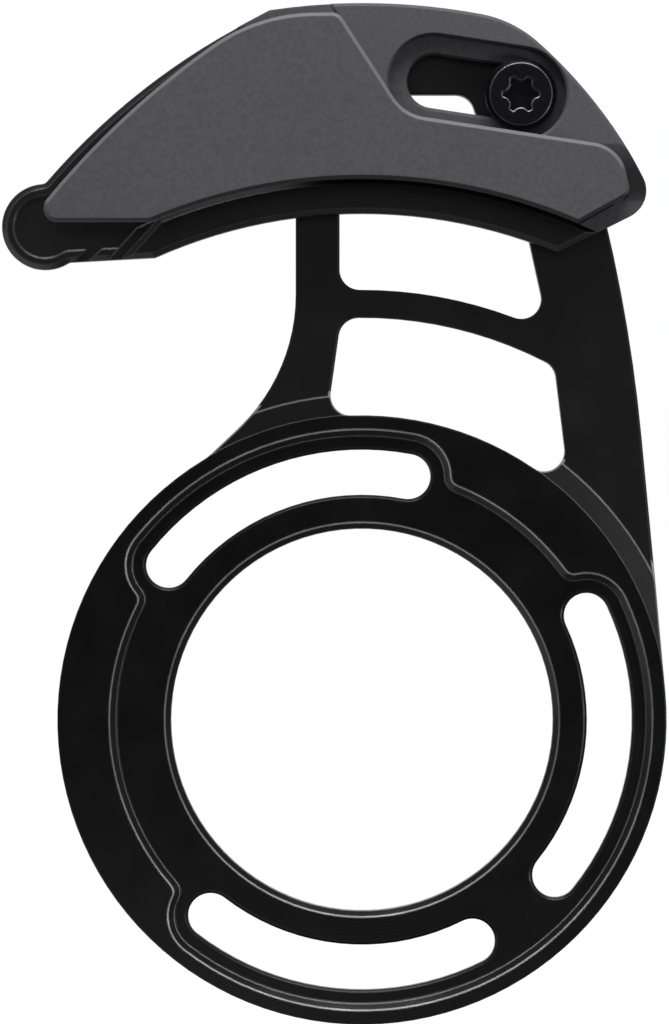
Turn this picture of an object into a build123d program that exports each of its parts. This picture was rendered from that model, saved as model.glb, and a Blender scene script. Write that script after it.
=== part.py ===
"""Bicycle chain guide: a ring backplate with an open arm, and a two-piece chain cage that slides on it.

Millimetres. The bore's axis is Y, +Z is up, +X is forward and -Y is outboard, away from the frame.
The origin is the centre of the bore on the ring's back face. Heights are measured outboard from there.
"""

import os
from math import cos, hypot, radians, sin, sqrt, tan

from build123d import *

# Arc slots for the frame bolts, each from a start angle to an end angle of its centre line
bolt_circle_dia = 59.3
bolt_slot_width = 5.4
bolt_slot_angles = [(79.3, 141.4), (232.3, 296.5), (321.2, 384.9)]
slot_edge_break = 0.3

# Sunk floor for the bolt heads, wide along the slots and with a waist near the bolt circle between them
floor_depth = 1.4
floor_margin = 1.62
floor_waist = -0.2
floor_wall_chamfer = 0.78
floor_corner_radius = 2.0

# Ring of the backplate, with a wall inside the slots and a rim outside the floor
bore_wall = 4.08
rim_wall = 2.48
ring_thickness = 4.0
bore_chamfer = 0.75

# Arm of the backplate
arm_step = 2.0
arm_step_run = 2.4
arm_thickness = 4.0
left_leg_x = -7.93
left_leg_width = 5.25
left_knee_rise = 4.85
left_knee_radius = 22.0
left_foot_angle = 120.5
left_foot_radius = 4.0
crossbar_radius = 51.42
crossbar_width = 3.3
right_leg_angle = 5.45
right_leg_bend_height = 34.0
upper_window_height = 14.3
top_corner_radius = 5.0
boss_dia = 11.4
window_corner_radius = 2.4
upper_window_right = (21.42, 50.6)
upper_window_right_angle = 12.5
lower_window_left = (-3.2, 43.0)
lower_window_left_angle = -8.0
lower_window_right = (23.72, 36.4)
lower_window_right_angle = 7.0
plate_edge_break = 0.15

# Clamp screw and the adjusting slot that it holds
screw_x = 18.87
screw_height = 14.1
slot_tilt = 8.6
slot_travel = 10.5
slot_width = 6.3
thread_dia = 5.0
thread_clearance = 0.05
screw_length = 8.0
thread_chamfer = 0.5
head_dia = 8.5
head_height = 2.6
head_chamfer = 0.55
socket_dia = 4.5
socket_flute_radius = 0.94
socket_waist_dia = 3.25
socket_lobe_radius = 0.25
socket_depth = 1.8

# Rib on the top bar and its groove in the inner guide, which keep the cage from turning on its screw
rib_width = 1.4
rib_height = 0.8
rib_length = 5.0
rib_offset = 4.4
rib_end = 4.0
rib_clearance = 0.1

# Outline that the inner guide and the flange share. Its points are given by x and by their height above
# the crown of its low arc, and the points round the tail from the tail's centre
guide_low_radius = 60.45
guide_height = 24.9
crown_radius = 77.5
tail_x = -37.8
tail_height = -1.6
tail_dia = 10.25
tail_foot_x = 1.8
tail_foot_depth = 0.825
tail_neck_x = -0.25
tail_neck_depth = 0.285
tail_corner_radius = 1.0
slant_bulge = 1.82
slant_top_x = -11.0
forehead_x = 17.8
forehead_radius = 14.0
face_bulge = 1.72
chin = (34.9, 1.15)
chin_radius = 3.3
heel_x = 23.28
low_bend_x = -24.75

# Inner guide
inner_thickness = 3.0
inner_edge_chamfer = 0.6
border_width = 1.4
sink_depth = 0.7
pad_width = 4.1
pad_height = 1.0
pad_end = (-27.2, -3.95)
pad_end_angle = 48.0
pad_step = 1.2
notch_offset = (5.45, -3.05)
notch_width = 1.2
notch_angle = 42.0
pad_bevel = 0.6

# Outer guide, with its points given in the same way
chain_room = 9.3
cheek_thickness = 2.5
cheek_edge_chamfer = 0.4
cheek_rise = 3.8
cheek_flat_height = -1.3
cheek_tip_x = -37.6
cheek_tip_height = 0.9
cheek_tip_radius = 1.45
cheek_slant_middle = (-27.8, 11.35)
cheek_slant_top = (-17.8, 19.45)
cheek_crest_start = (-5.1, 23.35)
cheek_crest = (-2.8, 23.4)
cheek_crest_radius = 1.6
cheek_knee_x = 4.97
cheek_knee_radius = 5.0
cheek_brow_x = 30.5
cheek_brow_radius = 4.5
cheek_chin_run = 1.15
cheek_chin_height = 1.95
cheek_chin_radius = 1.3
cheek_heel_x = 25.5
roof_width = 1.6
roof_height = 1.8
roof_head_clearance = 0.5
flange_thickness = 3.5
ledge_thickness = 1.0
ledge_slope_low = 1.5
ledge_slope_high = 8.15
head_slot_clearance = 1.15
seat_thickness = 0.8
flange_edge_chamfer = 0.3

# Joining screws, driven from behind through the inner guide into the outer guide
join_thread_dia = 2.5
join_length = 5.5
join_head_dia = 4.7
join_head_height = 1.4
join_head_sink = 0.15
join_hole_clearance = 0.1
join_tip_room = 0.3
join_socket_width = 1.5
join_socket_depth = 0.9
join_places = [(-6.9, 19.35), (25.7, 10.15)]
post_dia = 5.6

# Heights of the layers
floor_height = ring_thickness - floor_depth
arm_front = arm_step + arm_thickness
inner_front = arm_front + inner_thickness
sink_height = inner_front - sink_depth
head_seat = inner_front + seat_thickness
ledge_front = inner_front + ledge_thickness
flange_front = inner_front + flange_thickness
cheek_back = inner_front + chain_room
cheek_front = cheek_back + cheek_thickness
join_head_face = arm_front + join_head_sink
join_tip = join_head_face + join_length

# Radii
bolt_circle_radius = bolt_circle_dia / 2
bore_radius = bolt_circle_radius - bolt_slot_width / 2 - bore_wall
ring_radius = bolt_circle_radius + bolt_slot_width / 2 + floor_margin + rim_wall
floor_waist_radius = bolt_circle_radius + floor_waist
pad_radius = guide_low_radius + pad_width
cheek_low_radius = guide_low_radius + cheek_rise
tail_radius = tail_dia / 2
boss_radius = boss_dia / 2
thread_radius = thread_dia / 2
far = 3 * (guide_low_radius + guide_height)


def layer(height):
    """The sketch plane that lies parallel to the ring, at a height outboard of its back face."""
    return Plane.XZ.offset(height)


def in_cage(x, height):
    """A point of the cage, from its x and its height above the crown of the guide's low arc."""
    return (x, guide_low_radius + height)


def by_tail(x, z):
    """A point given from the centre of the round tail."""
    return in_cage(tail_x + x, tail_height + z)


def polar(radius, angle):
    """A point on a circle round the bore."""
    return (radius * cos(radians(angle)), radius * sin(radians(angle)))


def on_arc(radius, x):
    """The point above the bore at x on a circle round it."""
    return (x, sqrt(radius**2 - x**2))


def on_crown(x):
    """The point at x on the arc along the top of the cage."""
    return in_cage(x, guide_height - crown_radius + sqrt(crown_radius**2 - x**2))


def cut_edges(part, height):
    """The edges that the last cut made in a part at a height."""
    return part.edges(Select.LAST).filter_by_position(Axis.Y, -height, -height)


def leaning(point, angle, z):
    """The point at height z on a line through a point, which leans forward as it goes down."""
    return (point[0] + (point[1] - z) * tan(radians(angle)), z)


def slot_point(along, above):
    """A point given along the adjusting slot's line and above it, from the clamp screw."""
    tilt = radians(slot_tilt)
    x = screw_x + along * cos(tilt) + above * sin(tilt)
    height = screw_height - along * sin(tilt) + above * cos(tilt)
    return in_cage(x, height)


def slot_line_at(x, above):
    """The point at x on a line parallel to the adjusting slot, above it or, if negative, below."""
    return slot_point((x - screw_x - above * sin(radians(slot_tilt))) / cos(radians(slot_tilt)), above)


def along_slot(along, above):
    """A place on the adjusting slot's line with the sketch turned to lie along it."""
    return Location((*slot_point(along, above), 0), (0, 0, -slot_tilt))


def past(start, end, times):
    """A point on the line from a start to an end, at a multiple of its length."""
    return Vector(*start) + (Vector(*end) - Vector(*start)) * times


def round_corner(sketch, corner, radius):
    """Rounds the vertex of a sketch that lies nearest to a corner."""
    fillet(sketch.vertices().sort_by_distance(corner)[0], radius)


# Backplate: its outline in full depth, trimmed to a stepped disc that is turned about the bore
screw_centre = in_cage(screw_x, screw_height)
upper_window_top = guide_low_radius + upper_window_height
crossbar_low_radius = crossbar_radius - crossbar_width
window_left_x = left_leg_x + left_leg_width
blank_radius = hypot(*screw_centre) + boss_dia
step_angle = Vector(arm_step_run, arm_step).get_angle(Vector(1, 0))
step_back_start = ring_radius + ring_thickness * tan(radians(step_angle / 2))

with BuildSketch(Plane.XZ) as upper_window:
    with BuildLine():
        Polyline(
            (window_left_x, 0),
            (window_left_x, upper_window_top),
            leaning(upper_window_right, upper_window_right_angle, upper_window_top),
            leaning(upper_window_right, upper_window_right_angle, 0),
            close=True,
        )
    make_face()
    Circle(crossbar_radius, mode=Mode.SUBTRACT)
    with Locations(screw_centre):
        Circle(boss_radius, mode=Mode.SUBTRACT)
    fillet(upper_window.vertices(), window_corner_radius)

with BuildSketch(Plane.XZ) as lower_window:
    with BuildLine():
        Polyline(
            leaning(lower_window_left, lower_window_left_angle, crossbar_radius),
            leaning(lower_window_right, lower_window_right_angle, crossbar_radius),
            leaning(lower_window_right, lower_window_right_angle, 0),
            leaning(lower_window_left, lower_window_left_angle, 0),
            close=True,
        )
    make_face()
    Circle(crossbar_low_radius, mode=Mode.INTERSECT)
    Circle(ring_radius, mode=Mode.SUBTRACT)
    fillet(lower_window.vertices(), window_corner_radius)

# The right leg's side runs straight up from the ring, then in one arc to where that arc touches the boss
right_foot = polar(ring_radius, right_leg_angle)
leg_bend = Vector(*leaning(right_foot, right_leg_angle, right_leg_bend_height))
boss_centre = Vector(*screw_centre)
from_boss = leg_bend - boss_centre
inward = Vector(-1, 0).rotate(Axis.Z, right_leg_angle)
leg_arc_radius = (boss_radius**2 - from_boss.length**2) / (2 * (from_boss.dot(inward) + boss_radius))
leg_arc_centre = leg_bend + inward * leg_arc_radius
boss_side = boss_centre + (boss_centre - leg_arc_centre).normalized() * boss_radius
left_knee = (left_leg_x, ring_radius + left_knee_rise)

with BuildSketch(Plane.XZ) as plate_outline:
    with BuildLine():
        right_side = Line(right_foot, leg_bend)
        leg_arc = TangentArc(leg_bend, boss_side, tangent=right_side % 1)
        over_boss = TangentArc(boss_side, slot_point(0, boss_radius), tangent=leg_arc % 1)
        Polyline(
            over_boss @ 1,
            slot_line_at(left_leg_x, boss_radius),
            left_knee,
            polar(ring_radius, left_foot_angle),
            (0, 0),
            right_foot,
        )
    make_face()
    Circle(ring_radius)
    round_corner(plate_outline, slot_line_at(left_leg_x, boss_radius), top_corner_radius)
    round_corner(plate_outline, left_knee, left_knee_radius)
    round_corner(plate_outline, polar(ring_radius, left_foot_angle), left_foot_radius)
    add(upper_window.sketch_local, mode=Mode.SUBTRACT)
    add(lower_window.sketch_local, mode=Mode.SUBTRACT)

# The sunk floor follows the first slot and, in one run, the other two
floor_angles = [bolt_slot_angles[0], (bolt_slot_angles[1][0], bolt_slot_angles[2][1])]
bolt_arcs = [CenterArc((0, 0), bolt_circle_radius, start, end - start) for start, end in bolt_slot_angles]
floor_arcs = [CenterArc((0, 0), bolt_circle_radius, start, end - start) for start, end in floor_angles]

with BuildSketch(layer(floor_height)) as bolt_floor:
    Circle(floor_waist_radius)
    for arc in floor_arcs:
        SlotArc(arc, bolt_slot_width + 2 * floor_margin)
    waist_corners = bolt_floor.vertices().sort_by(lambda vertex: hypot(vertex.X, vertex.Y))[:4]
    fillet(waist_corners, floor_corner_radius)

with BuildPart() as backplate:
    with BuildSketch(Plane.XZ):
        add(plate_outline.sketch_local)
    extrude(amount=arm_front)
    chamfer(backplate.faces().sort_by(Axis.Y)[0].edges(), plate_edge_break)
    with BuildSketch(Plane.XY):
        with BuildLine():
            Polyline(
                (0, 0),
                (step_back_start, 0),
                (step_back_start + arm_step_run, -arm_step),
                (blank_radius, -arm_step),
                (blank_radius, -arm_front),
                (ring_radius + arm_step_run, -arm_front),
                (ring_radius, -ring_thickness),
                (0, -ring_thickness),
                close=True,
            )
        make_face()
    revolve(axis=Axis.Y, mode=Mode.INTERSECT)
    with BuildSketch(Plane.XZ):
        with Locations(screw_centre):
            Circle(boss_radius)
    extrude(amount=arm_step)
    extrude(bolt_floor.sketch, amount=floor_depth, mode=Mode.SUBTRACT)
    chamfer(cut_edges(backplate, ring_thickness), floor_wall_chamfer)
    with BuildSketch(Plane.XZ):
        for arc in bolt_arcs:
            SlotArc(arc, bolt_slot_width)
    extrude(amount=ring_thickness, mode=Mode.SUBTRACT)
    chamfer(cut_edges(backplate, floor_height), slot_edge_break)
    with BuildSketch(Plane.XZ):
        Circle(bore_radius)
    extrude(amount=ring_thickness, mode=Mode.SUBTRACT)
    chamfer(cut_edges(backplate, floor_height), bore_chamfer)
    with BuildSketch(Plane.XZ):
        with Locations(screw_centre):
            Circle(thread_radius + thread_clearance)
    extrude(amount=arm_front, mode=Mode.SUBTRACT)
    with BuildSketch(layer(arm_front)):
        with Locations(along_slot(-rib_end - rib_length / 2, rib_offset)):
            SlotOverall(rib_length, rib_width)
    extrude(amount=rib_height)


# Outline that the inner guide and the flange share
tail_centre = by_tail(0, 0)
tail_foot = by_tail(tail_foot_x, tail_foot_depth - tail_radius)
tail_neck = by_tail(tail_neck_x, tail_radius - tail_neck_depth)
slant_top = on_crown(slant_top_x)
forehead = on_crown(forehead_x)
chin_point = in_cage(*chin)
heel = on_arc(guide_low_radius, heel_x)
low_bend = on_arc(guide_low_radius, low_bend_x)

with BuildSketch(Plane.XZ) as guide_outline:
    with BuildLine():
        SagittaArc(tail_neck, slant_top, slant_bulge)
        ThreePointArc(slant_top, on_crown(0), forehead)
        SagittaArc(forehead, chin_point, face_bulge)
        Line(chin_point, heel)
        ThreePointArc(heel, (0, guide_low_radius), low_bend)
        Polyline(low_bend, tail_foot, tail_centre, tail_neck)
    make_face()
    round_corner(guide_outline, forehead, forehead_radius)
    round_corner(guide_outline, chin_point, chin_radius)
    with Locations(tail_centre):
        Circle(tail_radius)
    round_corner(guide_outline, tail_neck, tail_corner_radius)
    round_corner(guide_outline, tail_foot, tail_corner_radius)

# Region under the roof: its side runs from the crest to the knee, along the slot, down to the chin and back
roof_drop = head_dia / 2 + roof_head_clearance
knee = slot_line_at(cheek_knee_x, -roof_drop)
brow = slot_line_at(cheek_brow_x, -roof_drop)
crest_point = in_cage(*cheek_crest)
cheek_chin = in_cage(cheek_brow_x + cheek_chin_run, cheek_chin_height)
cheek_heel = on_arc(cheek_low_radius, cheek_heel_x)

with BuildSketch(Plane.XZ) as under_roof:
    with BuildLine():
        over_crest = past(knee, crest_point, 2)
        under_heel = past(cheek_chin, cheek_heel, 3)
        Polyline(over_crest, knee, brow, cheek_chin, under_heel, (-far, 0), (-far, far), close=True)
    make_face()
    round_corner(under_roof, knee, cheek_knee_radius)
    round_corner(under_roof, brow, cheek_brow_radius)

with BuildSketch(Plane.XZ) as chain_space:
    with Locations((-roof_width, -roof_height)):
        add(under_roof.sketch_local)

with BuildSketch(Plane.XZ) as cheek_outline:
    with BuildLine():
        tip_low = in_cage(cheek_tip_x, cheek_flat_height)
        tip_high = in_cage(cheek_tip_x, cheek_tip_height)
        flat_end = (-sqrt(cheek_low_radius**2 - tip_low[1] ** 2), tip_low[1])
        slant = ThreePointArc(tip_high, in_cage(*cheek_slant_middle), in_cage(*cheek_slant_top))
        crest_arc = TangentArc(slant @ 1, in_cage(*cheek_crest_start), tangent=slant % 1)
        Polyline(crest_arc @ 1, crest_point, (cheek_chin[0], crest_point[1]), cheek_chin, cheek_heel)
        ThreePointArc(cheek_heel, (0, cheek_low_radius), flat_end)
        Polyline(flat_end, tip_low, tip_high)
    make_face()
    add(under_roof.sketch_local, mode=Mode.INTERSECT)
    round_corner(cheek_outline, tip_low, cheek_tip_radius)
    round_corner(cheek_outline, tip_high, cheek_tip_radius)
    round_corner(cheek_outline, crest_point, cheek_crest_radius)
    round_corner(cheek_outline, cheek_chin, cheek_chin_radius)

with BuildSketch(layer(sink_height)) as pad_face:
    add(guide_outline.sketch_local)
    Circle(pad_radius, mode=Mode.INTERSECT)
    with Locations(Location((*in_cage(*pad_end), 0), (0, 0, pad_end_angle))):
        Rectangle(far, far, align=(Align.CENTER, Align.MAX), mode=Mode.INTERSECT)

with BuildSketch(layer(sink_height)) as pad_step_face:
    add(guide_outline.sketch_local)
    Circle(pad_radius, mode=Mode.INTERSECT)
    with Locations(Location((*in_cage(*pad_end), 0), (0, 0, pad_end_angle))):
        with Locations((0, pad_step)):
            Rectangle(far, far, align=(Align.CENTER, Align.MAX), mode=Mode.INTERSECT)

join_points = [in_cage(*place) for place in join_places]

with BuildPart() as inner_guide:
    with BuildSketch(layer(arm_front)):
        add(guide_outline.sketch_local)
    extrude(amount=inner_thickness)
    chamfer(inner_guide.faces().sort_by(Axis.Y)[0].edges(), inner_edge_chamfer)
    with BuildSketch(layer(sink_height)):
        add(guide_outline.sketch_local)
        add(under_roof.sketch_local, mode=Mode.INTERSECT)
        offset(amount=-border_width)
        add(chain_space.sketch_local, mode=Mode.INTERSECT)
    extrude(amount=sink_depth, mode=Mode.SUBTRACT)
    with BuildSketch(layer(sink_height)):
        with Locations(Location((*by_tail(*notch_offset), 0), (0, 0, notch_angle))):
            Rectangle(tail_dia, notch_width)
        with Locations(tail_centre):
            Circle(tail_radius, mode=Mode.SUBTRACT)
    extrude(amount=sink_depth, mode=Mode.SUBTRACT)
    extrude(pad_step_face.sketch, amount=(sink_depth + pad_height) / 2)
    extrude(pad_face.sketch, amount=sink_depth + pad_height)
    chamfer(inner_guide.faces().sort_by(Axis.Y)[0].edges(), pad_bevel)
    with BuildSketch(layer(arm_front)):
        with Locations(along_slot(-slot_travel / 2, 0)):
            SlotCenterToCenter(slot_travel, slot_width)
    extrude(amount=inner_thickness, mode=Mode.SUBTRACT)
    with BuildSketch(layer(arm_front)):
        with Locations(along_slot(-rib_end - (rib_length + slot_travel) / 2, rib_offset)):
            SlotOverall(rib_length + slot_travel + 2 * rib_clearance, rib_width + 2 * rib_clearance)
    extrude(amount=rib_height + rib_clearance, mode=Mode.SUBTRACT)
    for x, z in join_points:
        with BuildSketch(Plane.XY.offset(z)):
            with BuildLine():
                Polyline(
                    (x, -arm_front),
                    (x + join_head_dia / 2 + join_hole_clearance, -arm_front),
                    (x + join_head_dia / 2 + join_hole_clearance, -join_head_face),
                    (x + join_thread_dia / 2 + join_hole_clearance, -join_head_face - join_head_height),
                    (x + join_thread_dia / 2 + join_hole_clearance, -inner_front),
                    (x, -inner_front),
                    close=True,
                )
            make_face()
        revolve(axis=Axis((x, 0, z), (0, 1, 0)), mode=Mode.SUBTRACT)

head_slot_width = head_dia + 2 * head_slot_clearance

with BuildPart() as outer_guide:
    with BuildSketch(layer(inner_front)):
        add(guide_outline.sketch_local)
    extrude(amount=flange_thickness)
    chamfer(outer_guide.faces().sort_by(Axis.Y)[0].edges(), flange_edge_chamfer)
    with BuildSketch(layer(inner_front)):
        add(under_roof.sketch_local)
        Circle(pad_radius)
    extrude(amount=flange_thickness, mode=Mode.SUBTRACT)
    # The flange thins in a slope to the ledge that goes on round the chin to the inner guide's pad
    with BuildSketch(Plane.YZ):
        with BuildLine():
            Polyline(
                (-ledge_front, guide_low_radius + ledge_slope_low),
                (-flange_front, guide_low_radius + ledge_slope_high),
                (-flange_front, 0),
                (-ledge_front, 0),
                close=True,
            )
        make_face()
    extrude(amount=far, both=True, mode=Mode.SUBTRACT)
    # Counterbored slot: room for the screw's head down to its seat, and a narrower slot through the seat
    with BuildSketch(layer(head_seat)):
        with Locations(along_slot(-slot_travel / 2, 0)):
            SlotCenterToCenter(slot_travel, head_slot_width)
    extrude(amount=flange_front - head_seat, mode=Mode.SUBTRACT)
    for flare in (0, flange_edge_chamfer):
        with BuildSketch(layer(flange_front - flange_edge_chamfer + flare)):
            with Locations(along_slot(-slot_travel / 2, 0)):
                SlotCenterToCenter(slot_travel, head_slot_width + 2 * flare)
    loft(mode=Mode.SUBTRACT)
    with BuildSketch(layer(inner_front)):
        with Locations(along_slot(-slot_travel / 2, 0)):
            SlotCenterToCenter(slot_travel, slot_width)
    extrude(amount=seat_thickness, mode=Mode.SUBTRACT)
    chamfer(cut_edges(outer_guide, head_seat), slot_edge_break)
    with BuildSketch(layer(inner_front)):
        add(cheek_outline.sketch_local)
        add(chain_space.sketch_local, mode=Mode.SUBTRACT)
    extrude(amount=chain_room)
    with BuildSketch(layer(sink_height)):
        with Locations(join_points[0]):
            Circle(post_dia / 2)
    extrude(amount=sink_depth + chain_room)
    with BuildSketch(layer(cheek_back)):
        add(cheek_outline.sketch_local)
    extrude(amount=cheek_thickness)
    chamfer(outer_guide.faces().sort_by(Axis.Y)[0].edges(), cheek_edge_chamfer)
    with BuildSketch(layer(sink_height)):
        with Locations(*join_points):
            Circle(join_thread_dia / 2 + thread_clearance)
    extrude(amount=join_tip - sink_height + join_tip_room, mode=Mode.SUBTRACT)

with BuildSketch(layer(head_seat + head_height - socket_depth)) as socket:
    with Locations(screw_centre):
        Circle(socket_dia / 2)
        with PolarLocations(socket_waist_dia / 2 + socket_flute_radius, 6, 30):
            Circle(socket_flute_radius, mode=Mode.SUBTRACT)
    fillet(socket.vertices(), socket_lobe_radius)

with BuildPart() as clamp_screw:
    with BuildSketch(layer(head_seat)):
        with Locations(screw_centre):
            Circle(head_dia / 2)
    extrude(amount=head_height)
    chamfer(clamp_screw.faces().sort_by(Axis.Y)[0].edges(), head_chamfer)
    extrude(socket.sketch, amount=socket_depth, mode=Mode.SUBTRACT)
    with BuildSketch(layer(head_seat - screw_length)):
        with Locations(screw_centre):
            Circle(thread_radius)
    extrude(amount=screw_length)
    chamfer(clamp_screw.faces().sort_by(Axis.Y)[-1].edges(), thread_chamfer)

with BuildPart() as joining_screws:
    for x, z in join_points:
        with BuildSketch(Plane.XY.offset(z)):
            with BuildLine():
                Polyline(
                    (x, -join_head_face),
                    (x + join_head_dia / 2, -join_head_face),
                    (x + join_thread_dia / 2, -join_head_face - join_head_height),
                    (x + join_thread_dia / 2, -join_tip),
                    (x, -join_tip),
                    close=True,
                )
            make_face()
        revolve(axis=Axis((x, 0, z), (0, 1, 0)))
    with BuildSketch(layer(join_head_face)):
        with Locations(*join_points):
            RegularPolygon(join_socket_width / 2, 6, major_radius=False)
    extrude(amount=join_socket_depth, mode=Mode.SUBTRACT)

os.makedirs("parts", exist_ok=True)
backplate.part.label = "backplate"
export_step(backplate.part, "parts/backplate.step")
inner_guide.part.label = "inner_guide"
export_step(inner_guide.part, "parts/inner_guide.step")
outer_guide.part.label = "outer_guide"
export_step(outer_guide.part, "parts/outer_guide.step")
clamp_screw.part.label = "clamp_screw"
export_step(clamp_screw.part, "parts/clamp_screw.step")
joining_screws.part.label = "joining_screws"
export_step(joining_screws.part, "parts/joining_screws.step")
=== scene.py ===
"""Bicycle chain guide: finishes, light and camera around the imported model, in metres."""

import math

import bpy
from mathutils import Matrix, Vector


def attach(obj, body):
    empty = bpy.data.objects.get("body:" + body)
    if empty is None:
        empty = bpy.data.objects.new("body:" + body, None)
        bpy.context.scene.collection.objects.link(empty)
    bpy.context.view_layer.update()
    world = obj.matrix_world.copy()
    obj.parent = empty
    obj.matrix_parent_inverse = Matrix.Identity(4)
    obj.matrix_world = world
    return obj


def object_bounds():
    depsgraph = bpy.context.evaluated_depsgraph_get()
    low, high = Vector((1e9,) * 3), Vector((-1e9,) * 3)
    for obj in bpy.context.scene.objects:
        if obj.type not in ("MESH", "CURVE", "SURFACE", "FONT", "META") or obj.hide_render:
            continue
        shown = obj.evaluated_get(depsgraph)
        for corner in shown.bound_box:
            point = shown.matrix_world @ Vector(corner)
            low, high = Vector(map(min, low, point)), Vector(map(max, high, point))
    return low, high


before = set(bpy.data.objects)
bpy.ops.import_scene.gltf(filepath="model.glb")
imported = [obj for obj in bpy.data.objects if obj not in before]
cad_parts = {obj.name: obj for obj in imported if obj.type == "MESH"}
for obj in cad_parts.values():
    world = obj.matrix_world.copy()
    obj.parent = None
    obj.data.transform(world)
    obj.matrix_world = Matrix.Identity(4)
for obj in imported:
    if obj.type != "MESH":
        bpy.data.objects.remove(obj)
cad_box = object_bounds()

# The model is in metres. Measures in this file are in millimetres, unless a comment gives another unit
MM = 0.001

# Directions on the part. The front is the side that the cage stands out on, and a height is counted from the
# ring's back towards the front
TO_RIGHT = (1.0, 0.0, 0.0)
TO_FRONT = (0.0, -1.0, 0.0)
UP = (0.0, 0.0, 1.0)

# Camera: level, square to the ring and far off
CAMERA_PLACE = (-3.29, -1200.0, 24.88)
CAMERA_LENS = 351.5
SENSOR_LONG_SIDE = 36.0

# Outline along the top of the cage: an arc centred above the bore's axis, then a slant down to the tail
CROWN_RADIUS = 77.5
CROWN_CENTRE = 7.82
SLANT_TOP = (-11.0, 84.54)
SLANT_RISE = 0.514

# The flange runs out to the left in a low strip along that outline, on the inner guide's front.
# Each station has its place to the right of the bore's axis, its low edge and the height of its front
INNER_GUIDE_FRONT = 9.0
FLANGE_END_STATIONS = [
    (-2.6, 83.88, 12.3),
    (-5.6, 83.88, 12.1),
    (-8.3, 83.5, 11.9),
    (-11.0, 83.05, 11.6),
    (-12.4, 82.75, 11.2),
    (-14.8, 82.45, 10.2),
]

# What finishes go by on the part: a screw's axis, the turned ring's edge and a height just under the cheek
CLAMP_SCREW_AXIS = (18.87, 0.0, 74.55)
RING_RADIUS = 36.4
CHEEK_LEAST_HEIGHT = 18.0

# Turned edges of the backplate: within a radius of the bore's axis and above a height.
# They are the bore's chamfer, the wall of the sunk floor and the step up to the arm
TURNED_ZONES = [(24.3, -0.1), (35.7, 2.75), (39.5, 4.02)]

# The ramps below are two places along a value, and the share at both.
# The painted shade on the slope and ledge beside the brow is told by its place along three directions
BROW_SHADE = [
    (TO_RIGHT, (29.0, 31.5, 0.0, 0.9)),
    (TO_FRONT, (11.3, 12.5, 1.0, 0.0)),
    (UP, (61.0, 63.0, 0.0, 1.0)),
]
# The painted shade on undersides and the painted highlight on upper bevels are told by how far a face looks
# up, from -1 to 1
PAINTED_UNDERSIDE_SHADE = (-0.65, -0.4, 0.85, 0.0)
PAINTED_BEVEL_HIGHLIGHT = [(0.2, 0.3, 0.0, 1.0), (0.75, 0.85, 1.0, 0.0)]
MOST_BEVEL_HIGHLIGHT = 0.42
# Bright edges, partly wear and partly painted highlight, are told by a patchy noise, and, as painted light,
# by how far up or down from the bore's axis they are
PATCHY_WEAR_AND_HIGHLIGHT = (0.35, 0.65, 0.7, 1.0)
HIGHLIGHT_FROM_LEVEL = (6.0, 24.0, 0.35, 1.0)

NYLON_IOR = 1.53
EDGE_SAMPLES = 6
# Spacing of the wave texture's rings where its scale is 1
WAVE_SPACING = 0.314


def linear(hex_colour):
    """Turns an sRGB hex colour into linear red, green, blue and alpha."""
    parts = [int(hex_colour[i : i + 2], 16) / 255 for i in (1, 3, 5)]
    return tuple(c / 12.92 if c <= 0.04045 else ((c + 0.055) / 1.055) ** 2.4 for c in parts) + (1.0,)


def set_inputs(tree, node, inputs):
    """Sets inputs of a node. Each is a value, or another node's output to link from."""
    for name, value in inputs.items():
        if isinstance(value, bpy.types.NodeSocket):
            tree.links.new(value, node.inputs[name])
        else:
            node.inputs[name].default_value = value


def add_node(tree, kind, inputs=None, **settings):
    """Adds a node with its settings and inputs."""
    new = tree.nodes.new(kind)
    for name, value in settings.items():
        setattr(new, name, value)
    set_inputs(tree, new, inputs or {})
    return new


def start_finish(name):
    """A new material with its shader, and the place on the piece in millimetres."""
    finish = bpy.data.materials.new(name)
    finish.use_nodes = True
    tree = finish.node_tree
    shader = tree.nodes["Principled BSDF"]
    place = add_node(tree, "ShaderNodeTexCoord").outputs["Object"]
    millimetres = add_node(
        tree, "ShaderNodeVectorMath", {0: place, "Scale": 1 / MM}, operation="SCALE"
    ).outputs["Vector"]
    return finish, tree, shader, millimetres


def edge_mask(tree, width, on_edge, on_face):
    """The normal rounded over a width, and a mask that is white along edges and black on open faces.

    The mask runs between two values of how alike the rounded and the true normal are.
    """
    rounded = add_node(
        tree, "ShaderNodeBevel", {"Radius": width * MM}, samples=EDGE_SAMPLES
    ).outputs["Normal"]
    true_normal = add_node(tree, "ShaderNodeNewGeometry").outputs["True Normal"]
    alike = add_node(
        tree, "ShaderNodeVectorMath", {0: rounded, 1: true_normal}, operation="DOT_PRODUCT"
    ).outputs["Value"]
    mask = add_node(
        tree,
        "ShaderNodeMapRange",
        {"Value": alike, "From Min": on_edge, "From Max": on_face, "To Min": 1.0, "To Max": 0.0},
    ).outputs["Result"]
    return rounded, mask


def fade(tree, amount, values_and_ramps):
    """Multiplies an amount by the ramp along each value."""
    for value, (low, high, at_low, at_high) in values_and_ramps:
        share = add_node(
            tree,
            "ShaderNodeMapRange",
            {"Value": value, "From Min": low, "From Max": high, "To Min": at_low, "To Max": at_high},
        ).outputs["Result"]
        amount = add_node(
            tree, "ShaderNodeMath", {0: amount, 1: share}, operation="MULTIPLY"
        ).outputs["Value"]
    return amount


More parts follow.
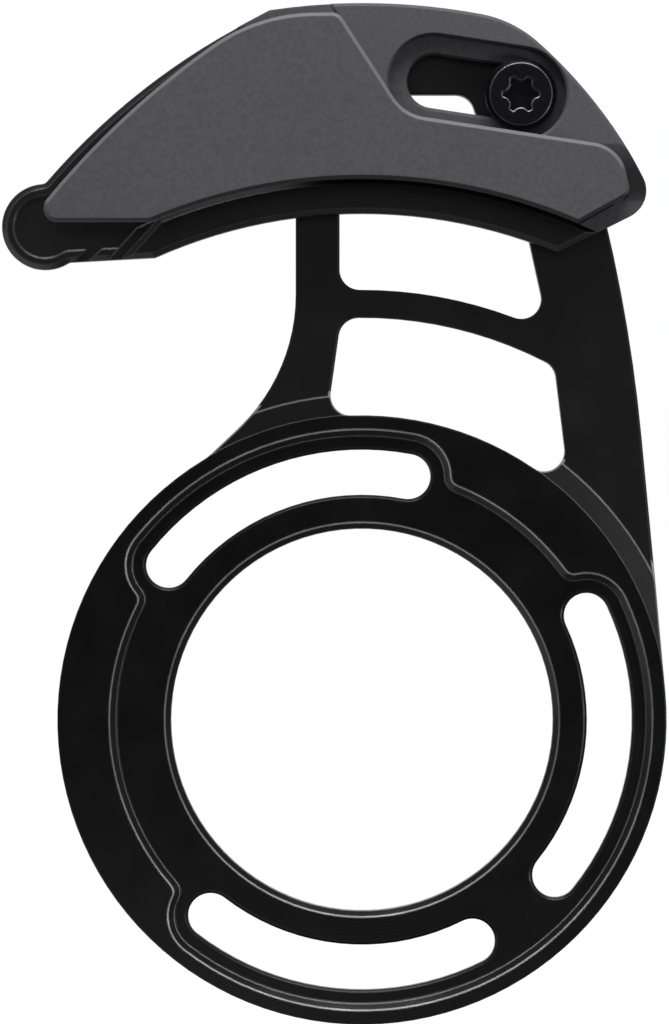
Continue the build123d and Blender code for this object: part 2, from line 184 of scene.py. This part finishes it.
def grey_moulded_nylon():
    """Glass-filled nylon, moulded against a spark-eroded tool: an even grey with a fine satin grain, over
    which painted shade and painted highlights are laid.
    """
    finish, tree, shader, place = start_finish("grey_glass_nylon_spark_grain")
    edge_round = 0.25
    rounded = add_node(
        tree, "ShaderNodeBevel", {"Radius": edge_round * MM}, samples=EDGE_SAMPLES
    ).outputs["Normal"]
    # The real grain is about 0.1 mm and too fine to show, so it is drawn at 0.5 mm
    grain_width = 0.5
    grain = add_node(
        tree, "ShaderNodeTexNoise", {"Vector": place, "Scale": 1 / grain_width, "Detail": 2.0}
    ).outputs["Fac"]
    # Its gloss varies in soft clouds
    cloud_width = 9.0
    clouds = add_node(
        tree, "ShaderNodeTexNoise", {"Vector": place, "Scale": 1 / cloud_width, "Detail": 2.0}
    ).outputs["Fac"]
    body = add_node(
        tree,
        "ShaderNodeMix",
        {"Factor": grain, "A": linear("#3f3e42"), "B": linear("#5a595f")},
        data_type="RGBA",
    ).outputs["Result"]
    # The slope and ledge beside the brow are painted darker than the flange that they run down from: painted
    # shade
    brow_ramps = []
    for direction, ramp in BROW_SHADE:
        along = add_node(
            tree, "ShaderNodeVectorMath", {0: place, 1: direction}, operation="DOT_PRODUCT"
        ).outputs["Value"]
        brow_ramps.append((along, ramp))
    brow = fade(tree, 1.0, brow_ramps)
    # Edges and walls that look down are painted as dark: painted shade, where light from above does not reach
    # them
    true_normal = add_node(tree, "ShaderNodeNewGeometry").outputs["True Normal"]
    looks_up = add_node(
        tree, "ShaderNodeVectorMath", {0: true_normal, 1: UP}, operation="DOT_PRODUCT"
    ).outputs["Value"]
    underside = fade(tree, 1.0, [(looks_up, PAINTED_UNDERSIDE_SHADE)])
    dark = add_node(tree, "ShaderNodeMath", {0: underside, 1: brow}, operation="MAXIMUM").outputs["Value"]
    with_painted_shade = add_node(
        tree, "ShaderNodeMix", {"Factor": dark, "A": body, "B": linear("#1a1a1c")}, data_type="RGBA"
    ).outputs["Result"]
    # The cheek's bevels that look partly up are painted paler than its face: a painted highlight, where light
    # from above falls on them
    height = add_node(
        tree, "ShaderNodeVectorMath", {0: place, 1: TO_FRONT}, operation="DOT_PRODUCT"
    ).outputs["Value"]
    on_cheek = add_node(
        tree, "ShaderNodeMath", {0: height, 1: CHEEK_LEAST_HEIGHT}, operation="GREATER_THAN"
    ).outputs["Value"]
    cheek_highlight = add_node(
        tree, "ShaderNodeMath", {0: on_cheek, 1: MOST_BEVEL_HIGHLIGHT}, operation="MULTIPLY"
    ).outputs["Value"]
    bevel_highlight = fade(tree, cheek_highlight, [(looks_up, ramp) for ramp in PAINTED_BEVEL_HIGHLIGHT])
    with_painted_highlight = add_node(
        tree, "ShaderNodeMix", {"Factor": bevel_highlight, "A": with_painted_shade, "B": linear("#86858a")}, data_type="RGBA"
    ).outputs["Result"]
    gloss = add_node(
        tree,
        "ShaderNodeMapRange",
        {"Value": clouds, "From Min": 0.3, "From Max": 0.7, "To Min": 0.5, "To Max": 0.62},
    ).outputs["Result"]
    relief = add_node(
        tree,
        "ShaderNodeBump",
        {"Strength": 0.25, "Distance": 0.04 * MM, "Height": grain, "Normal": rounded},
    ).outputs["Normal"]
    set_inputs(
        tree,
        shader,
        {"Base Color": with_painted_highlight, "Roughness": gloss, "Normal": relief, "IOR": NYLON_IOR},
    )
    return finish


def black_moulded_nylon():
    """Nylon moulded in a polished tool and textured lightly: deep black, with a painted highlight along its
    edges.
    """
    finish, tree, shader, place = start_finish("black_nylon_moulded_satin")
    rounded, edges = edge_mask(tree, width=0.3, on_edge=0.93, on_face=0.99)
    # The grain is drawn at 0.25 mm, coarser than the real one, so that it shows
    grain_width = 0.25
    grain = add_node(
        tree, "ShaderNodeTexNoise", {"Vector": place, "Scale": 1 / grain_width, "Detail": 2.0}
    ).outputs["Fac"]
    # Its gloss varies in soft clouds, as moulded nylon's does where the melt has flowed
    flow_width = 12.0
    flow = add_node(
        tree, "ShaderNodeTexNoise", {"Vector": place, "Scale": 1 / flow_width, "Detail": 2.0}
    ).outputs["Fac"]
    body = add_node(
        tree,
        "ShaderNodeMix",
        {"Factor": grain, "A": linear("#0e0e10"), "B": linear("#171718")},
        data_type="RGBA",
    ).outputs["Result"]
    # Edges are painted paler: a painted highlight along the bevels
    with_painted_highlight = add_node(
        tree, "ShaderNodeMix", {"Factor": edges, "A": body, "B": linear("#48484b")}, data_type="RGBA"
    ).outputs["Result"]
    gloss = add_node(
        tree,
        "ShaderNodeMapRange",
        {"Value": flow, "From Min": 0.3, "From Max": 0.7, "To Min": 0.24, "To Max": 0.32},
    ).outputs["Result"]
    relief = add_node(
        tree,
        "ShaderNodeBump",
        {"Strength": 0.2, "Distance": 0.02 * MM, "Height": grain, "Normal": rounded},
    ).outputs["Normal"]
    set_inputs(
        tree,
        shader,
        {"Base Color": with_painted_highlight, "Roughness": gloss, "Normal": relief, "IOR": NYLON_IOR},
    )
    return finish


def black_anodised_aluminium():
    """Aluminium, turned, blasted and anodised black: a dense satin black, bright along its turned edges,
    partly from wear and partly by a painted highlight.
    """
    finish, tree, shader, place = start_finish("black_anodised_aluminium_turned")
    rounded, edges = edge_mask(tree, width=0.33, on_edge=0.955, on_face=0.995)
    # A place without its height gives the distance from the bore's axis
    flat = (1.0, 0.0, 1.0)
    across = add_node(
        tree, "ShaderNodeVectorMath", {0: place, 1: flat}, operation="MULTIPLY"
    ).outputs["Vector"]
    from_axis = add_node(tree, "ShaderNodeVectorMath", {0: across}, operation="LENGTH").outputs["Value"]
    height = add_node(
        tree, "ShaderNodeVectorMath", {0: place, 1: TO_FRONT}, operation="DOT_PRODUCT"
    ).outputs["Value"]
    turned = 0.0
    for zone_radius, zone_height in TURNED_ZONES:
        inside = add_node(
            tree, "ShaderNodeMath", {0: from_axis, 1: zone_radius}, operation="LESS_THAN"
        ).outputs["Value"]
        above = add_node(
            tree, "ShaderNodeMath", {0: height, 1: zone_height}, operation="GREATER_THAN"
        ).outputs["Value"]
        zone = add_node(tree, "ShaderNodeMath", {0: inside, 1: above}, operation="MULTIPLY").outputs["Value"]
        turned = add_node(tree, "ShaderNodeMath", {0: zone, 1: turned}, operation="MAXIMUM").outputs["Value"]
    turned_edges = add_node(
        tree, "ShaderNodeMath", {0: edges, 1: turned}, operation="MULTIPLY"
    ).outputs["Value"]
    # The blasted grain is drawn at 0.2 mm, coarser than the real one, so that it shows
    grain_width = 0.2
    grain = add_node(
        tree, "ShaderNodeTexNoise", {"Vector": place, "Scale": 1 / grain_width, "Detail": 2.0}
    ).outputs["Fac"]
    # The bright edges, partly wear and partly painted highlight, and the gloss vary in patches
    patch_width = 5.0
    patches = add_node(
        tree, "ShaderNodeTexNoise", {"Vector": place, "Scale": 1 / patch_width, "Detail": 4.0}
    ).outputs["Fac"]
    # The bright edges are painted weaker at the left and right of the ring than at its top and bottom:
    # painted light, as if lit from above and below
    both_ways = add_node(tree, "ShaderNodeVectorMath", {0: place}, operation="ABSOLUTE").outputs["Vector"]
    from_level = add_node(tree, "ShaderNodeSeparateXYZ", {0: both_ways}).outputs["Z"]
    wear_and_highlight = fade(tree, turned_edges, [(patches, PATCHY_WEAR_AND_HIGHLIGHT), (from_level, HIGHLIGHT_FROM_LEVEL)])
    body = add_node(
        tree,
        "ShaderNodeMix",
        {"Factor": grain, "A": linear("#040405"), "B": linear("#09090a")},
        data_type="RGBA",
    ).outputs["Result"]
    worn_and_highlit = add_node(
        tree, "ShaderNodeMix", {"Factor": wear_and_highlight, "A": body, "B": linear("#e8e8ec")}, data_type="RGBA"
    ).outputs["Result"]
    # Bright edges, partly wear and partly painted highlight, show some bare metal and are duller than the
    # coat
    wear_and_highlight_metal = 0.35
    wear_and_highlight_roughness = 0.42
    metal = add_node(tree, "ShaderNodeMath", {0: wear_and_highlight, 1: wear_and_highlight_metal}, operation="MULTIPLY").outputs["Value"]
    gloss = add_node(
        tree,
        "ShaderNodeMapRange",
        {"Value": patches, "From Min": 0.3, "From Max": 0.7, "To Min": 0.32, "To Max": 0.39},
    ).outputs["Result"]
    # The turned ring is smoother than the blasted arm, so it mirrors less of the light round it
    ring_change = -0.1
    on_ring = add_node(
        tree, "ShaderNodeMath", {0: from_axis, 1: RING_RADIUS}, operation="LESS_THAN"
    ).outputs["Value"]
    ring_gloss = add_node(
        tree, "ShaderNodeMath", {0: on_ring, 1: ring_change, 2: gloss}, operation="MULTIPLY_ADD"
    ).outputs["Value"]
    dulled = add_node(
        tree, "ShaderNodeMix", {"Factor": wear_and_highlight, "A": ring_gloss, "B": wear_and_highlight_roughness}, data_type="FLOAT"
    ).outputs["Result"]
    # Turning lines on the ring are about 0.1 mm apart and too fine to show, so they are drawn at 0.45 mm
    line_spacing = 0.45
    turning = add_node(
        tree,
        "ShaderNodeTexWave",
        {"Vector": place, "Scale": WAVE_SPACING / line_spacing, "Distortion": 0.3, "Detail": 1.0},
        wave_type="RINGS",
        rings_direction="Y",
    ).outputs["Fac"]
    ring_lines = add_node(
        tree, "ShaderNodeMath", {0: turning, 1: on_ring}, operation="MULTIPLY"
    ).outputs["Value"]
    blasted = add_node(
        tree,
        "ShaderNodeBump",
        {"Strength": 0.15, "Distance": 0.02 * MM, "Height": grain, "Normal": rounded},
    ).outputs["Normal"]
    relief = add_node(
        tree,
        "ShaderNodeBump",
        {"Strength": 0.15, "Distance": 0.01 * MM, "Height": ring_lines, "Normal": blasted},
    ).outputs["Normal"]
    set_inputs(
        tree,
        shader,
        {"Base Color": worn_and_highlit, "Metallic": metal, "Roughness": dulled, "Normal": relief},
    )
    return finish


def black_oxide_steel():
    """Turned steel with a black oxide finish: near black, with a painted highlight on its rims."""
    finish, tree, shader, place = start_finish("black_oxide_steel_turned")
    rounded, edges = edge_mask(tree, width=0.25, on_edge=0.9, on_face=0.99)
    from_screw = add_node(
        tree, "ShaderNodeVectorMath", {0: place, 1: CLAMP_SCREW_AXIS}, operation="SUBTRACT"
    ).outputs["Vector"]
    # Turning lines are about 0.05 mm apart and too fine to show, so they are drawn at 0.25 mm
    line_spacing = 0.25
    turning = add_node(
        tree,
        "ShaderNodeTexWave",
        {"Vector": from_screw, "Scale": WAVE_SPACING / line_spacing, "Distortion": 0.4, "Detail": 1.0},
        wave_type="RINGS",
        rings_direction="Y",
    ).outputs["Fac"]
    # The oxide's mottle is drawn at 0.4 mm, coarser than the real one, so that it shows
    mottle_width = 0.4
    mottle = add_node(
        tree, "ShaderNodeTexNoise", {"Vector": place, "Scale": 1 / mottle_width, "Detail": 3.0}
    ).outputs["Fac"]
    body = add_node(
        tree,
        "ShaderNodeMix",
        {"Factor": mottle, "A": linear("#212123"), "B": linear("#303033")},
        data_type="RGBA",
    ).outputs["Result"]
    # Rims are painted paler: a painted highlight that stands in for glints
    with_painted_highlight = add_node(
        tree, "ShaderNodeMix", {"Factor": edges, "A": body, "B": linear("#98989c")}, data_type="RGBA"
    ).outputs["Result"]
    gloss = add_node(
        tree,
        "ShaderNodeMapRange",
        {"Value": mottle, "From Min": 0.3, "From Max": 0.7, "To Min": 0.3, "To Max": 0.42},
    ).outputs["Result"]
    relief = add_node(
        tree,
        "ShaderNodeBump",
        {"Strength": 0.15, "Distance": 0.01 * MM, "Height": turning, "Normal": rounded},
    ).outputs["Normal"]
    set_inputs(
        tree,
        shader,
        {"Base Color": with_painted_highlight, "Metallic": 1.0, "Roughness": gloss, "Normal": relief},
    )
    return finish


def dress(node_name, finish):
    """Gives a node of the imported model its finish."""
    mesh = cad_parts[node_name].data
    mesh.materials.clear()
    mesh.materials.append(finish)


def add_flange_end(finish):
    """The low strip that the flange runs out in, which lies on the inner guide along the cheek's top."""
    corners = []
    for x, low, front in FLANGE_END_STATIONS:
        crown = CROWN_CENTRE + math.sqrt(CROWN_RADIUS**2 - x**2)
        slant = SLANT_TOP[1] + SLANT_RISE * (x - SLANT_TOP[0])
        top = min(crown, slant)
        back = INNER_GUIDE_FRONT
        corners += [(x, -back, low), (x, -back, top), (x, -front, top), (x, -front, low)]
    # Four corners a station: a face closes each end, and four join each station to the next
    last = len(corners) - 4
    faces = [(3, 2, 1, 0), (last, last + 1, last + 2, last + 3)]
    for start in range(0, last, 4):
        for side in range(4):
            near = start + side
            far = start + (side + 1) % 4
            faces.append((near, far, far + 4, near + 4))
    mesh = bpy.data.meshes.new("flange_end")
    mesh.from_pydata([[c * MM for c in corner] for corner in corners], [], faces)
    mesh.materials.append(finish)
    strip = bpy.data.objects.new("flange_end", mesh)
    bpy.context.collection.objects.link(strip)
    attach(strip, "cage")


steel = black_oxide_steel()
grey_nylon = grey_moulded_nylon()
dress("backplate", black_anodised_aluminium())
dress("inner_guide", black_moulded_nylon())
dress("outer_guide", grey_nylon)
dress("clamp_screw", steel)
dress("joining_screws", steel)
add_flange_end(grey_nylon)

# Light tent: dim towards the camera, brightest in a wide band round it and greyer at the sides and behind.
# The camera sees it white, and so does gloss that looks behind the guide
TENT_AXIS = (0.0, 0.985, 0.17)
world = bpy.data.worlds.new("light_tent")
bpy.context.scene.world = world
world.use_nodes = True
tent = world.node_tree
direction = add_node(tent, "ShaderNodeTexCoord").outputs["Generated"]
away = add_node(
    tent, "ShaderNodeVectorMath", {0: direction, 1: TENT_AXIS}, operation="DOT_PRODUCT"
).outputs["Value"]
band = add_node(
    tent,
    "ShaderNodeMapRange",
    {"Value": away, "From Min": -0.92, "From Max": -0.6, "To Min": 0.02, "To Max": 0.65},
    interpolation_type="SMOOTHSTEP",
).outputs["Result"]
sides = add_node(
    tent,
    "ShaderNodeMapRange",
    {"Value": away, "From Min": -0.5, "From Max": 0.1, "To Min": 1.0, "To Max": 0.4},
    interpolation_type="SMOOTHSTEP",
).outputs["Result"]
light = add_node(tent, "ShaderNodeMath", {0: band, 1: sides}, operation="MULTIPLY").outputs["Value"]
behind = add_node(
    tent, "ShaderNodeMapRange", {"Value": away, "From Min": 0.3, "From Max": 0.7}
).outputs["Result"]
tent_path = add_node(tent, "ShaderNodeLightPath").outputs
tent_mirrored = add_node(
    tent, "ShaderNodeMath", {0: tent_path["Is Glossy Ray"], 1: behind}, operation="MULTIPLY"
).outputs["Value"]
tent_shown = add_node(
    tent, "ShaderNodeMath", {0: tent_path["Is Camera Ray"], 1: tent_mirrored}, operation="MAXIMUM"
).outputs["Value"]
tent_level = add_node(
    tent, "ShaderNodeMix", {"Factor": tent_shown, "A": light, "B": 1.0}, data_type="FLOAT"
).outputs["Result"]
set_inputs(tent, tent.nodes["Background"], {"Color": linear("#ffffff"), "Strength": tent_level})

# Lamps: a soft box over the front of the guide, and two small cards, one for the cage's front and one for its
# low band
LAMP_AIM = Vector((0.0, 0.0, 55.0))
LAMPS = {
    "soft_box": {"place": Vector((10.0, -160.0, 330.0)), "size": (280.0, 200.0), "watts": 0.97},
    "front_card": {"place": Vector((0.0, -350.0, 122.0)), "size": (240.0, 80.0), "watts": 0.024},
    "low_card": {"place": Vector((215.0, -260.0, -8.0)), "size": (120.0, 50.0), "watts": 0.15},
}
for lamp_name, values in LAMPS.items():
    lamp = bpy.data.lights.new(lamp_name, "AREA")
    lamp.shape = "RECTANGLE"
    lamp.size, lamp.size_y = [c * MM for c in values["size"]]
    lamp.energy = values["watts"]
    panel = bpy.data.objects.new(lamp_name, lamp)
    panel.location = values["place"] * MM
    panel.rotation_euler = (LAMP_AIM - values["place"]).to_track_quat("-Z", "Y").to_euler()
    bpy.context.collection.objects.link(panel)

# Floor: a paper sheet just under the ring, with its half side in metres. To the camera it glows nearly white,
# over a greyer colour that throws little light up and still takes the guide's shadow
FLOOR_HALF = 3.0
FLOOR_GAP = 0.1
FLOOR_SHOWN = 0.91
floor_height = cad_box[0][2] - FLOOR_GAP * MM
floor_corners = [
    (-FLOOR_HALF, -FLOOR_HALF, floor_height),
    (FLOOR_HALF, -FLOOR_HALF, floor_height),
    (FLOOR_HALF, FLOOR_HALF, floor_height),
    (-FLOOR_HALF, FLOOR_HALF, floor_height),
]
floor_mesh = bpy.data.meshes.new("floor")
floor_mesh.from_pydata(floor_corners, [], [(0, 1, 2, 3)])
floor = bpy.data.objects.new("floor", floor_mesh)
bpy.context.collection.objects.link(floor)
paper, sheet, sheet_shader, on_sheet = start_finish("white_paper_floor")
sheet_place = add_node(sheet, "ShaderNodeSeparateXYZ", {0: on_sheet}).outputs
near = add_node(
    sheet,
    "ShaderNodeMapRange",
    {"Value": sheet_place["Y"], "From Min": -250.0, "From Max": -10.0},
    interpolation_type="SMOOTHSTEP",
).outputs["Result"]
# In gloss its left glows brighter than its right, a painted reflection, so the coned step shows paler on the
# right of the ring
left = add_node(
    sheet,
    "ShaderNodeMapRange",
    {"Value": sheet_place["X"], "From Min": -50.0, "From Max": 0.0, "To Min": 0.7, "To Max": 0.12},
).outputs["Result"]
near_left = add_node(sheet, "ShaderNodeMath", {0: near, 1: left}, operation="MULTIPLY").outputs["Value"]
sheet_path = add_node(sheet, "ShaderNodeLightPath").outputs
sheet_mirrored = add_node(
    sheet, "ShaderNodeMath", {0: sheet_path["Is Glossy Ray"], 1: near_left}, operation="MULTIPLY"
).outputs["Value"]
sheet_shown = add_node(
    sheet, "ShaderNodeMath", {0: sheet_path["Is Camera Ray"], 1: FLOOR_SHOWN}, operation="MULTIPLY"
).outputs["Value"]
glow = add_node(
    sheet, "ShaderNodeMath", {0: sheet_shown, 1: sheet_mirrored}, operation="MAXIMUM"
).outputs["Value"]
set_inputs(
    sheet,
    sheet_shader,
    {
        "Base Color": linear("#646464"),
        "Roughness": 0.9,
        "Emission Color": linear("#ffffff"),
        "Emission Strength": glow,
    },
)
floor_mesh.materials.append(paper)

camera_data = bpy.data.cameras.new("camera")
camera_data.lens = CAMERA_LENS
camera_data.sensor_width = SENSOR_LONG_SIDE
camera_data.sensor_fit = "AUTO"
camera_data.clip_start = 50.0 * MM
camera_data.clip_end = 20000.0 * MM
camera = bpy.data.objects.new("camera", camera_data)
camera.location = [c * MM for c in CAMERA_PLACE]
camera.rotation_euler = (math.pi / 2, 0.0, 0.0)
bpy.context.collection.objects.link(camera)
bpy.context.scene.camera = camera

bpy.context.scene.view_settings.view_transform = "Standard"
